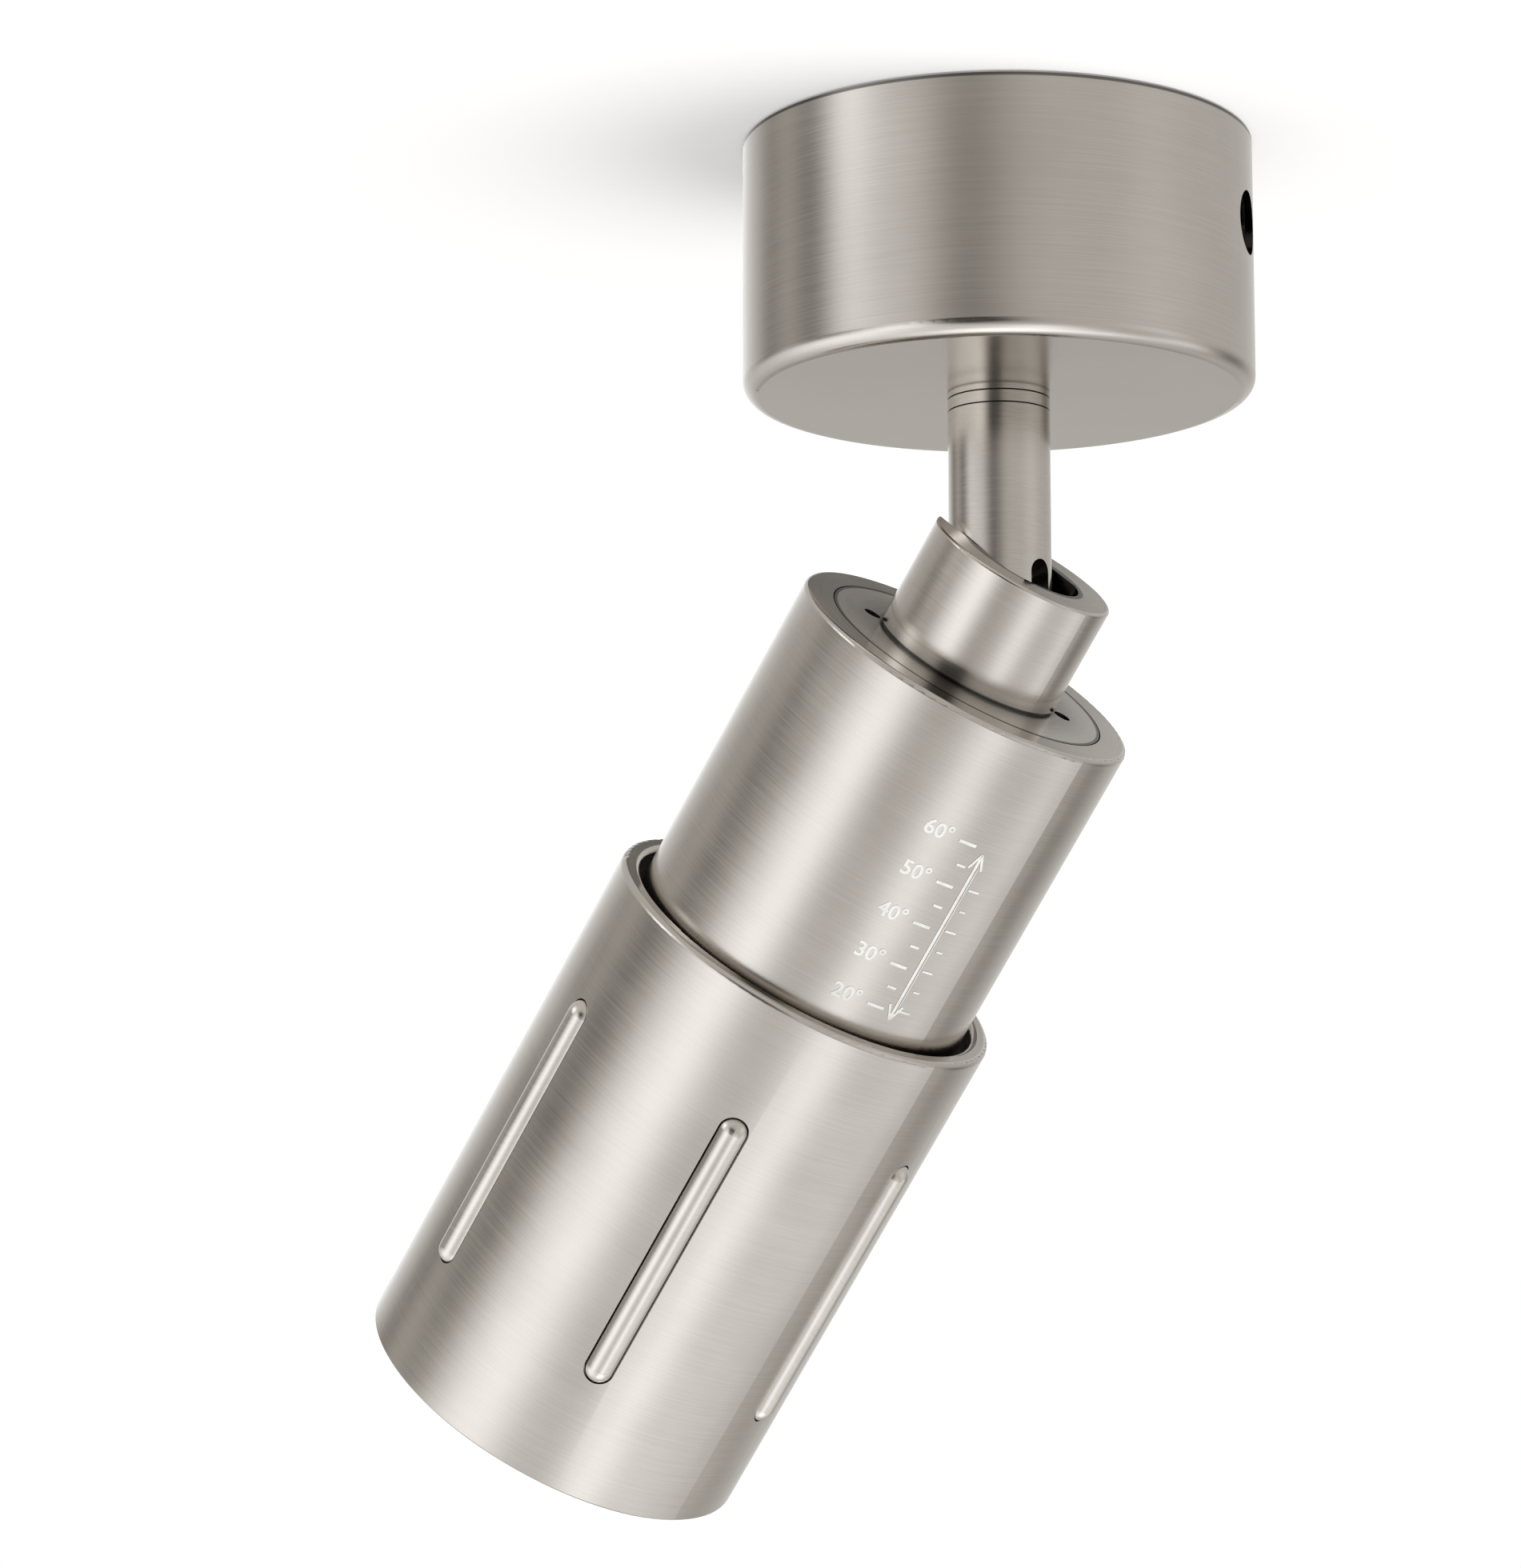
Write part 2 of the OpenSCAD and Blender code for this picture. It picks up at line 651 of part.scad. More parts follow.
// Thick collar: flats inside beside the ball end, and open on the side to which the stem leans
module neck() {
    neck_h = neck_drop + neck_rise;
    lean_slot_h = 2 * neck_rise + lean_slot_w;
    color(nickel) at_head() difference() {
        rotate_extrude() neck_section();
        intersection() {
            bar(-neck_rise - over, neck_rise + over + neck_flat_drop, neck_bore_r);
            translate([-neck_r, -neck_flats / 2, -neck_drop])
                cube([neck_d, neck_flats, neck_h + 2 * over]);
        }
        bar(neck_flat_drop - over / 2, spigot_end - neck_flat_drop + 2 * over, neck_bore_r);
        rotate([0, 0, 180]) side_slot(0, neck_r + over, lean_slot_h, lean_slot_w, -neck_rise);
        side_bar(neck_flats / 2 - over, neck_r + over, pivot_r + run_gap, 0, 90);
        side_bar(pivot_head_seat, neck_r + over, pivot_head_r + fit_gap, 0, 90);
        side_bar(neck_flats / 2 - over, pivot_tip + fit_gap, pivot_r + run_gap, 0, -90);
    }
}

module pivot_screw() {
    color(steel) at_head() difference() {
        union() {
            side_bar(-pivot_tip, pivot_head_seat + pivot_head_h / 2, pivot_r, 0, 90);
            side_bar(pivot_head_seat, pivot_head_seat + pivot_head_h, pivot_head_r, 0, 90);
        }
        rotate([0, 0, 90]) translate([pivot_head_seat + pivot_head_h / 3, 0, 0]) rotate([0, 90, 0])
            cylinder(h = pivot_head_h, r = pivot_r * 0.7, $fn = 6);
    }
}

module tilt_washers() {
    face = ball_flats / 2 + face_gap;
    color(black_plastic) at_head() for (turn = [90, -90]) difference() {
        side_bar(face, face + tilt_washer_t, tilt_washer_r, 0, turn);
        side_bar(face - over, neck_r, pivot_r + run_gap, 0, turn);
    }
}

// Ring nut with notches for a hook spanner
module neck_nut() {
    notch = neck_nut_w / 2;
    color(zinc) at_head() difference() {
        tube(nut_depth, neck_nut_h, neck_nut_r, spigot_r + run_gap);
        for (k = [0 : neck_nut_notches - 1]) rotate([0, 0, k * 360 / neck_nut_notches])
            translate([neck_nut_r - notch / 2, -notch / 2, -nut_depth - neck_nut_h - over])
                cube([notch, notch, neck_nut_h + 2 * over]);
    }
}

module end_disc() {
    color(nickel) at_head() difference() {
        tube(neck_drop, disc_t, disc_r, spigot_r + fit_gap);
        for (side = [0, 180]) rotate([0, 0, spanner_turn + side]) translate([spanner_spacing / 2, 0, 0])
            bar(neck_drop - over, spanner_hole_depth + over, spanner_hole_d / 2);
    }
}

// Half section of the body: recess and shoulder for the end disc, step for the heat sink, and grooves
module body_section() {
    difference() {
        square([body_r, body_l]);
        translate([0, body_l]) corner_cut(body_r, body_round);
        translate([0, body_l - disc_t]) square([disc_r + disc_gap, disc_t + over]);
        translate([0, body_l - disc_t - disc_shoulder_t - over])
            square([disc_r - disc_shoulder_w, disc_shoulder_t + 2 * over]);
        translate([0, body_l - head_room - over])
            square([body_upper_r, head_room - disc_t - disc_shoulder_t + over]);
        translate([0, -over]) square([body_bore_r, body_l - head_room + over]);
        translate([0, body_end - sink_end - sink_ring_t])
            square([body_bore_r + sink_ring_cut, sink_ring_t]);
        translate([body_r - glide_groove, glide_rise]) square([glide_groove + over, glide_h]);
    }
}

module body_tube() {
    color(nickel) at_head() difference() {
        translate([0, 0, -body_end]) rotate_extrude() body_section();
        side_bar(body_bore_r - over, body_r + over, guide_pin_r + run_gap, guide_pin_depth, guide_turn);
    }
}

// The lead passes the heat sink's base between two fins, at the edge of the LED holder
module at_wire_hole() {
    rotate([0, 0, wire_hole_turn]) translate([wire_hole_x, 0, 0]) children();
}

// Finned heat sink: a core with straight fins on a base that carries the light source
module heat_sink() {
    fin_root = fin_l + sink_base_t / 2;
    base_depth = sink_end - sink_base_t;
    screw_hole_depth = holder_screw_grip + fit_gap;
    color(aluminium) at_head() difference() {
        union() {
            translate([0, 0, -step_depth - fin_root]) linear_extrude(fin_root)
                intersection() {
                    circle(sink_r);
                    union() {
                        circle(d = sink_core_d);
                        for (k = [0 : fin_count - 1]) rotate(k * 360 / fin_count)
                            translate([0, -fin_t / 2]) square([body_r, fin_t]);
                    }
                }
            bar(base_depth, sink_base_t, sink_r);
        }
        at_wire_hole() bar(base_depth - over, sink_base_t + 2 * over, wire_hole_d / 2 + run_gap);
        for (side = [-1, 1]) translate([side * holder_screw_x, 0, 0])
            bar(sink_end - screw_hole_depth, screw_hole_depth + over, holder_screw_d / 2 + run_gap);
    }
}

// Open spring ring in the body's groove
module sink_ring() {
    color(steel) at_head() difference() {
        tube(sink_end, sink_ring_t, body_bore_r + sink_ring_cut - fit_gap, body_bore_r - sink_ring_w);
        translate([0, -body_wall, -sink_end - sink_ring_t - over])
            cube([body_r, 2 * body_wall, sink_ring_t + 2 * over]);
    }
}

module square_plate(side, t, depth) {
    translate([-side / 2, -side / 2, -depth - t]) cube([side, side, t]);
}

module thermal_pad() {
    color("gainsboro") at_head() square_plate(board_side, thermal_pad_t, sink_end);
}

module led_board() {
    color(white_plastic) at_head() square_plate(board_side, board_t, sink_end + thermal_pad_t);
}

module led_emitter() {
    color("gold") at_head() bar(sink_end + thermal_pad_t + board_t, emitter_t, emitter_d / 2);
}

// Ring that clamps the board, with a notch for the lead and a window that opens to the reflector
module led_holder() {
    board_depth = thermal_pad_t + board_t;
    color(white_plastic) at_head() difference() {
        bar(sink_end, holder_h, holder_r);
        square_plate(board_side + 2 * fit_gap, board_depth + over, sink_end - over);
        translate([0, 0, -holder_end])
            cylinder(h = holder_h - board_depth, r1 = holder_mouth_r, r2 = holder_window_r);
        bar(sink_end, holder_h + over, holder_window_r);
        at_wire_hole() bar(sink_end - over, holder_h + 2 * over, grommet_r + screw_gap);
        for (side = [-1, 1]) translate([side * holder_screw_x, 0, 0]) {
            bar(sink_end - over, holder_h + 2 * over, holder_screw_d / 2 + run_gap);
            bar(holder_screw_seat, holder_screw_head_h + over, holder_screw_head_r + fit_gap);
        }
    }
}

module holder_screws() {
    half_head = holder_screw_head_h / 2;
    shank = holder_screw_grip + holder_h - half_head;
    color(steel) at_head() for (side = [-1, 1]) translate([side * holder_screw_x, 0, 0]) difference() {
        union() {
            bar(sink_end - holder_screw_grip, shank, holder_screw_d / 2);
            bar(holder_screw_seat, holder_screw_head_h, holder_screw_head_r);
        }
        translate([0, 0, -holder_end - over])
            cylinder(h = over + half_head, r = holder_screw_d / 4, $fn = 6);
    }
}

module wire_grommet() {
    top = sink_end - sink_base_t;
    color(black_plastic) at_head() at_wire_hole() difference() {
        union() {
            bar(top, sink_base_t + grommet_t / 2, wire_hole_d / 2);
            bar(sink_end, grommet_t, grommet_r);
        }
        bar(top - over, sink_base_t + grommet_t + 2 * over, wire_hole_d / 2 - grommet_t);
    }
}

// Cone that stands on the LED holder, with a flange that centres it in the body
module reflector() {
    color(aluminium) at_head() translate([0, 0, -holder_end]) rotate_extrude() polygon([
        [reflector_seat_r, 0],
        [reflector_mouth_r, -reflector_h],
        [sink_r, -reflector_h],
        [sink_r, -reflector_h + reflector_t],
        [reflector_mouth_r + reflector_t / 2, -reflector_h + reflector_t],
        [reflector_seat_r + reflector_t, 0]
    ]);
}

module body_glide_ring() {
    color(black_plastic) at_head() tube(glide_depth + fit_gap, glide_h - 2 * fit_gap,
        sleeve_bore_r - glide_gap, body_r - glide_groove + fit_gap);
}

// Pin that keeps the sleeve from turning and ends its travel both ways
module guide_pin() {
    color(steel) at_head() side_bar(body_bore_r, sleeve_bore_r + guide_groove - glide_gap, guide_pin_r,
        guide_pin_depth, guide_turn);
}

// Half section of the sleeve: rounded rim, glide ring groove, and the bore that takes the lens
module sleeve_section() {
    difference() {
        translate([sleeve_bore_r, -sleeve_l]) square([sleeve_r - sleeve_bore_r, sleeve_l]);
        corner_cut(sleeve_r, sleeve_round);
        corner_cut(sleeve_bore_r, sleeve_round, -1);
        translate([sleeve_bore_r - over, -sleeve_glide_drop - glide_h])
            square([over + glide_groove, glide_h]);
        translate([sleeve_bore_r - over, -sleeve_l - over])
            square([over + lens_shoulder, over + lens_seat_depth]);
        translate([sleeve_r, -sleeve_l]) polygon([
            [over, -over],
            [over, sleeve_chamfer + over],
            [-sleeve_chamfer - over, -over]
        ]);
    }
}

module outer_sleeve() {
    color(nickel) at_sleeve() difference() {
        rotate_extrude() sleeve_section();
        rotate([0, 0, guide_turn]) side_slot(body_r, sleeve_bore_r + guide_groove, guide_length,
            guide_pin_d + 2 * glide_gap, guide_from + zoom_travel / 2);
        for (k = [0 : bar_count - 1]) rotate([0, 0, bar_turn + k * bar_pitch])
            side_slot(bar_floor_r, sleeve_r + over, bar_l + 2 * fit_gap, bar_w + 2 * fit_gap,
                sleeve_l / 2);
    }
}

// Round-nosed bars with a flat back, one in each pocket of the sleeve
module grip_bars() {
    color(nickel) at_sleeve() for (k = [0 : bar_count - 1]) rotate([0, 0, bar_turn + k * bar_pitch])
        intersection() {
            translate([bar_axis_r, 0, -sleeve_l / 2]) rotate_extrude() {
                translate([0, -bar_l / 2 + bar_r]) square([bar_r, bar_l - bar_w]);
                for (end = [-1, 1]) translate([0, end * (bar_l / 2 - bar_r)]) half_disc(bar_r);
            }
            translate([bar_floor_r, -bar_w, -(sleeve_l + bar_l) / 2 - over])
                cube([bar_w + bar_pocket, 2 * bar_w, bar_l + 2 * over]);
        }
}

module sleeve_glide_ring() {
    color(black_plastic) at_sleeve() tube(sleeve_glide_drop + fit_gap, glide_h - 2 * fit_gap,
        sleeve_bore_r + glide_groove - fit_gap, body_r + glide_gap);
}

module lens_gasket() {
    color(black_plastic) at_sleeve() tube(lens_seat, gasket_t, lens_r, sleeve_bore_r);
}

// Plano-convex lens: flat face out, curved face towards the light source
module zoom_lens() {
    dome_drop = sqrt(pow(lens_curve_r, 2) - pow(lens_dome_r, 2));
    color(glass) at_sleeve() translate([0, 0, -lens_depth]) rotate_extrude() {
        translate([0, -lens_edge_t]) square([lens_r, lens_edge_t]);
        intersection() {
            translate([0, -dome_drop]) circle(lens_curve_r);
            translate([0, -lens_edge_t / 2]) square([lens_dome_r, lens_curve_r]);
        }
    }
}

// Threaded ring with two notches for a pin spanner
module lens_ring() {
    notch = lens_ring_w / 2;
    color(black_plastic) at_sleeve() difference() {
        tube(lens_ring_depth, lens_ring_h, lens_r, lens_ring_r);
        for (turn = [0, 180]) rotate([0, 0, turn])
            translate([lens_ring_r - over, -notch / 2, -lens_ring_depth - lens_ring_h - over])
                cube([over + notch, notch, over + notch]);
    }
}

canopy();
mounting_strap();
canopy_screws();
earth_screw();
terminal_block();
led_driver();
driver_pads();
swivel_bush();
stop_pin();
stem();
swivel_ring();
pan_washers();
pan_tube();
stop_washer();
wave_washer();
lock_nut();
neck();
pivot_screw();
tilt_washers();
neck_nut();
end_disc();
body_tube();
heat_sink();
sink_ring();
thermal_pad();
led_board();
led_emitter();
led_holder();
holder_screws();
wire_grommet();
reflector();
body_glide_ring();
guide_pin();
outer_sleeve();
grip_bars();
sleeve_glide_ring();
lens_gasket();
zoom_lens();
lens_ring();
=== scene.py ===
# Surface mounted ceiling spotlight in satin nickel: a canopy on the ceiling, a stem that pans on it,
# and a tilting lamp head with an engraved beam scale and an outer sleeve that slides over the body.
import json
import math

import bpy
from mathutils import Matrix, Vector


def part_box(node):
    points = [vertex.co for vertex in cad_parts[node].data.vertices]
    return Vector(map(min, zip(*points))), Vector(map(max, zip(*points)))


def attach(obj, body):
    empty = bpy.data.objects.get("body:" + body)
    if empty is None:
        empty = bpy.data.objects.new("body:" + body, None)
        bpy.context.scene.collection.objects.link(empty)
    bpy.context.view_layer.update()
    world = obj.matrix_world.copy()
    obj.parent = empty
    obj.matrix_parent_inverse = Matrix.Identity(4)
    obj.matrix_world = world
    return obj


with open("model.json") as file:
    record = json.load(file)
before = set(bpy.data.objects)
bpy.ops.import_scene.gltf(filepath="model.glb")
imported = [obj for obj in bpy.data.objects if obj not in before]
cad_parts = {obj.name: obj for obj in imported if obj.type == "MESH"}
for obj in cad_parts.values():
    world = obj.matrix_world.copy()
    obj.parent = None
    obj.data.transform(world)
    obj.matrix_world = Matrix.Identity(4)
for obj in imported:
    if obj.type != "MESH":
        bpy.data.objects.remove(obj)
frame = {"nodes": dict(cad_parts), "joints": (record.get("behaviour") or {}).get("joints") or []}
nodes = frame["nodes"]
joints = {joint["name"]: joint for joint in frame["joints"]}
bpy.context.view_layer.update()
bpy.ops.object.select_all(action="DESELECT")
MM = 0.001

# Camera of the photograph: 0.9 m in front of the lamp, a little lower than its lens, and looking
# slightly up. The picture's long side takes the whole sensor.
bpy.ops.object.camera_add(
    location=(-0.0465, -0.8966, -0.2708), rotation=(math.radians(99.14), 0, 0)
)
camera = bpy.context.object
camera.name = "camera"
camera.data.sensor_width = 36
camera.data.lens = 108.2
bpy.context.scene.camera = camera
bpy.context.scene.view_settings.view_transform = "Standard"


# Studio round the lamp: a plain grey room with broad soft lights and dark cards, which the metal
# mirrors as long streaks. The camera and the lens see plain white in its place.
class Shade:
    """A value in a shader: sums on it add Math nodes, and make adds any other node."""

    def __init__(self, tree, socket=None):
        self.tree = tree
        self.socket = socket

    def make(self, kind, settings=None, values=None, output=0):
        """Add a node, set it up, give its sockets values or links, and return one of its outputs."""
        node = self.tree.nodes.new(kind)
        for name, setting in (settings or {}).items():
            setattr(node, name, setting)
        for name, value in (values or {}).items():
            if isinstance(value, Shade):
                self.tree.links.new(value.socket, node.inputs[name])
            else:
                node.inputs[name].default_value = value
        return Shade(self.tree, node.outputs[output] if node.outputs else None)

    def maths(self, operation, *values):
        return self.make("ShaderNodeMath", {"operation": operation}, dict(enumerate(values)))

    def vector(self, operation, *values, output=0):
        settings = {"operation": operation}
        return self.make("ShaderNodeVectorMath", settings, dict(enumerate((self, *values))), output)

    def __add__(self, other):
        return self.maths("ADD", self, other)

    def __sub__(self, other):
        return self.maths("SUBTRACT", self, other)

    def __rsub__(self, other):
        return self.maths("SUBTRACT", other, self)

    def __mul__(self, other):
        return self.maths("MULTIPLY", self, other)

    def __truediv__(self, other):
        return self.maths("DIVIDE", self, other)

    __radd__ = __add__
    __rmul__ = __mul__

    def ramp(self, start, end):
        """0 up to start and 1 past end, with a smooth rise between them."""
        settings = {"interpolation_type": "SMOOTHSTEP"}
        values = {"Value": self, "From Min": start, "From Max": end}
        return self.make("ShaderNodeMapRange", settings, values)

    def blend(self, low, high):
        """Colour that goes from low to high as this value goes from 0 to 1."""
        return self.make("ShaderNodeMix", {"data_type": "RGBA"}, {0: self, 6: low, 7: high}, 2)


def opaque(red, green, blue):
    return (red, green, blue, 1)


def toward(azimuth, elevation):
    """Direction from the lamp: azimuth 0 is towards the camera and 90 is to its right."""
    flat = math.cos(math.radians(elevation))
    return Vector(
        (
            math.sin(math.radians(azimuth)) * flat,
            -math.cos(math.radians(azimuth)) * flat,
            math.sin(math.radians(elevation)),
        )
    )


# Azimuth, elevation, strength and tightness: a light adds to the room, and a dark card takes away
room_level = 0.64
lights_and_cards = [
    (186, 11, 0.58, 18.6),
    (-78, -24, 0.83, 4),
    (-76, 27, 2.20, 32),
    (-39, -13, 0.72, 23),
    (23, -55, 0.73, 29),
    (91, -65, 0.48, 30),
    (104, -35, 0.45, 28),
    (72, -2, 0.25, 20),
    (8, -84, 1.40, 24),
    (-83, 16, -1.25, 15),
    (-125, 10, -0.47, 40),
    (125, -16, -0.42, 20),
    (-17, -7, -1.28, 17),
    (180, -27, -0.30, 28),
]
world = bpy.data.worlds.new("studio")
bpy.context.scene.world = world
world.use_nodes = True
world.node_tree.nodes.clear()
studio = Shade(world.node_tree)
direction = studio.make("ShaderNodeTexCoord", output="Generated")
brightness = room_level
for azimuth, elevation, strength, tightness in lights_and_cards:
    nearness = direction.vector("DOT_PRODUCT", toward(azimuth, elevation), output="Value")
    brightness = brightness + strength * studio.maths("EXPONENT", (nearness - 1) * tightness)
# A round black flag hangs behind and above. Flat faces mirror its edge, so they change tone there.
flag_radius = 10.95
flag_edge = 1.55
off_flag = direction.vector("DOT_PRODUCT", toward(170, 40), output="Value")
flag = off_flag.ramp(
    math.cos(math.radians(flag_radius + flag_edge)), math.cos(math.radians(flag_radius - flag_edge))
)
darkest = 0.05
brightness = studio.maths("MAXIMUM", brightness - flag * 0.49, darkest)
room_tint = brightness.ramp(0.1, 1.2).blend(opaque(1, 0.955, 0.89), opaque(1, 1.01, 1.02))
room = studio.make("ShaderNodeBackground", None, {"Color": room_tint, "Strength": brightness})
white = studio.make("ShaderNodeBackground", None, {"Color": opaque(1, 1, 1), "Strength": 1})
camera_sees = studio.make("ShaderNodeLightPath", output="Is Camera Ray")
lens_sees = studio.make("ShaderNodeLightPath", output="Is Transmission Ray")
seen = studio.maths("MAXIMUM", camera_sees, lens_sees)
backdrop = studio.make("ShaderNodeMixShader", None, {0: seen, 1: room, 2: white})
studio.make("ShaderNodeOutputWorld", None, {"Surface": backdrop})


# White ceiling over the canopy. It shows the canopy's soft shadow, blocks no light from the lamp,
# and can't be seen from above.
def new_material(name):
    material = bpy.data.materials.new(name)
    material.use_nodes = True
    material.node_tree.nodes.clear()
    return material, Shade(material.node_tree)


shadow_gap = 0.4 * MM
bpy.ops.mesh.primitive_plane_add(size=8, location=(0, 0, shadow_gap), rotation=(math.pi, 0, 0))
ceiling = bpy.context.object
ceiling.name = "ceiling"
for ray in ("diffuse", "glossy", "transmission", "volume_scatter", "shadow"):
    setattr(ceiling, "visible_" + ray, False)
ceiling_paint, shade = new_material("white_ceiling_paint")
glow = shade.make("ShaderNodeEmission", None, {"Color": opaque(1, 1, 1), "Strength": 0.24})
paint = shade.make("ShaderNodeBsdfDiffuse", None, {"Color": opaque(0.56, 0.555, 0.545)})
lit = shade.make("ShaderNodeAddShader", None, {0: glow, 1: paint})
nothing = shade.make("ShaderNodeBsdfTransparent")
from_above = shade.make("ShaderNodeNewGeometry", output="Backfacing")
one_sided = shade.make("ShaderNodeMixShader", None, {0: from_above, 1: lit, 2: nothing})
shade.make("ShaderNodeOutputMaterial", None, {"Surface": one_sided})
ceiling.data.materials.append(ceiling_paint)

# Soft lamp low on the right that throws the canopy's shadow to the left along the ceiling. It
# lights the ceiling alone, so the metal doesn't mirror it, and only the canopy stands in its way.
lamp_aim = (-toward(92, -50)).to_track_quat("-Z", "Y").to_euler()
bpy.ops.object.light_add(type="SUN", rotation=lamp_aim)
ceiling_lamp = bpy.context.object
ceiling_lamp.name = "ceiling_lamp"
ceiling_lamp.data.energy = 2.4
ceiling_lamp.data.angle = math.radians(60)
ceiling_only = bpy.data.collections.new("ceiling_only")
ceiling_only.objects.link(ceiling)
ceiling_lamp.light_linking.receiver_collection = ceiling_only
canopy_only = bpy.data.collections.new("canopy_only")
canopy_only.objects.link(nodes["canopy"])
ceiling_lamp.light_linking.blocker_collection = canopy_only


# Canopy: a cup drawn from steel sheet, brushed round its axis and plated satin nickel. It hangs on
# the strap inside it, with its rim against the ceiling and a cable hole in its side.
def own_space(shade, place, turn):
    """Coordinates that start at place, with Z along the piece's own axis."""
    where = shade.make("ShaderNodeTexCoord", output="Object")
    values = {"Vector": where, "Location": place, "Rotation": turn}
    return shade.make("ShaderNodeMapping", {"vector_type": "TEXTURE"}, values)


def noise(shade, where, scale, detail=2.0, output=0):
    values = {"Vector": where, "Scale": scale, "Detail": detail}
    return shade.make("ShaderNodeTexNoise", None, values, output)


def tool_lines(shade, where, spacing, waver=2.5):
    """Fine lines that a tool or a brush leaves round the Z axis, on sides and on faces alike."""
    flat = where.vector("MULTIPLY", (1, 1, 0))
    axial = shade.make("ShaderNodeSeparateXYZ", None, {"Vector": where}, "Z")
    along = (flat.vector("LENGTH", output="Value") + axial) / spacing
    round_axis = flat.vector("NORMALIZE").vector("SCALE")
    round_axis.socket.node.inputs["Scale"].default_value = waver
    lift = shade.make("ShaderNodeCombineXYZ", None, {"Z": along})
    return noise(shade, round_axis.vector("ADD", lift), 1.0, 3.0)


def finish_metal(shade, lines, patches, dull, bright, roughness, relief, shadow=None):
    """Metal whose colour, gloss and relief follow its tool lines and its soft patches, with painted
    shade where a shadow mask is given.
    """
    tone = lines * 0.5 + patches * 0.5
    colour = tone.ramp(0.3, 0.7).blend(dull, bright)
    if shadow is not None:
        colour = shadow.blend(colour, opaque(0.03, 0.028, 0.025))
    gloss = roughness + (lines - 0.5) * 0.12 + (patches - 0.5) * 0.08
    values = {"Strength": relief, "Distance": 0.02 * MM, "Height": lines}
    bump = shade.make("ShaderNodeBump", None, values)
    values = {"Base Color": colour, "Roughness": gloss, "Metallic": 1.0, "Normal": bump}
    metal = shade.make("ShaderNodeBsdfPrincipled", None, values)
    shade.make("ShaderNodeOutputMaterial", None, {"Surface": metal})


def dress(material, *names):
    for name in names:
        nodes[name].material_slots[0].material = material


nickel_dull = opaque(0.555, 0.522, 0.482)
nickel_bright = opaque(0.615, 0.580, 0.536)
nickel_roughness = 0.21
nickel_line = 0.22 * MM
origin = (0, 0, 0)
upright = (0, 0, 0)
inner_radius = 48.5 * MM
inner_floor = -48.5 * MM
hole_radius = 6.25 * MM
hole_height = -19 * MM
canopy_nickel, shade = new_material("drawn_nickel")
where = own_space(shade, origin, upright)
height = shade.make("ShaderNodeSeparateXYZ", None, {"Vector": where}, "Z")
# Painted shade: a dark band along the rim where it meets the ceiling, and the whole inside of the
# cup darkened towards black.
rim_painted_shadow = height.ramp(-0.75 * MM, -0.45 * MM) * 0.75
from_axis = where.vector("MULTIPLY", (1, 1, 0)).vector("LENGTH", output="Value")
within_wall = 1 - from_axis.ramp(inner_radius + 0.05 * MM, inner_radius + 0.3 * MM)
inside_painted_shade = within_wall * height.ramp(inner_floor - 0.2 * MM, inner_floor)
# Painted shade in the cable hole: its wall is darkened towards black.
hole_azimuth = math.radians(-17)
hole_way = Vector((math.cos(hole_azimuth), math.sin(hole_azimuth), 0))
from_hole = where.vector("SUBTRACT", (0, 0, hole_height))
off_line = from_hole.vector("CROSS_PRODUCT", hole_way).vector("LENGTH", output="Value")
on_side = from_hole.vector("DOT_PRODUCT", hole_way, output="Value").ramp(0, 1 * MM)
hole_painted_shade = (1 - off_line.ramp(hole_radius + 0.02 * MM, hole_radius + 0.12 * MM)) * on_side
dark = shade.maths("MAXIMUM", shade.maths("MAXIMUM", rim_painted_shadow, inside_painted_shade), hole_painted_shade)
lines = tool_lines(shade, where, nickel_line)
patches = noise(shade, where, 40)
finish_metal(shade, lines, patches, nickel_dull, nickel_bright, nickel_roughness, 0.08, dark)
dress(canopy_nickel, "canopy")


# Mounting strap and its screws: a slotted bar of zinc plated steel, screwed to the ceiling, with two
# socket screws that hold the canopy and a brass screw for the earth wire.
def plated_zinc(name, place, turn, spacing):
    material, shade = new_material(name)
    where = own_space(shade, place, turn)
    spangle = noise(shade, where, 900, 1.0)
    haze = noise(shade, where, 120)
    lines = tool_lines(shade, where, spacing)
    dull = haze.ramp(0.35, 0.65).blend(opaque(0.42, 0.44, 0.46), opaque(0.50, 0.47, 0.42))
    bright = opaque(0.62, 0.63, 0.64)
    finish_metal(shade, lines, spangle, dull, bright, 0.36, 0.08)
    return material


def turned(name, dull, bright, roughness, place, turn, spacing, relief=0.12):
    material, shade = new_material(name)
    where = own_space(shade, place, turn)
    lines = tool_lines(shade, where, spacing)
    patches = noise(shade, where, 90)
    finish_metal(shade, lines, patches, dull, bright, roughness, relief)
    return material


steel_dull = opaque(0.44, 0.44, 0.43)
steel_bright = opaque(0.58, 0.58, 0.57)
brass_dull = opaque(0.50, 0.34, 0.12)
brass_bright = opaque(0.66, 0.48, 0.20)
across = (0, math.pi / 2, 0)
dress(plated_zinc("zinc_strap", origin, across, 0.5 * MM), "mounting_strap")
screw_steel = turned(
    "screw_steel", steel_dull, steel_bright, 0.24, (0, 0, -7.5 * MM), across, 0.3 * MM
)
dress(screw_steel, "canopy_screws")
earth_low, earth_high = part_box("earth_screw")
earth_place = (earth_low + earth_high) / 2
dress(
    turned("earth_brass", brass_dull, brass_bright, 0.3, earth_place, upright, 0.3 * MM),
    "earth_screw",
)


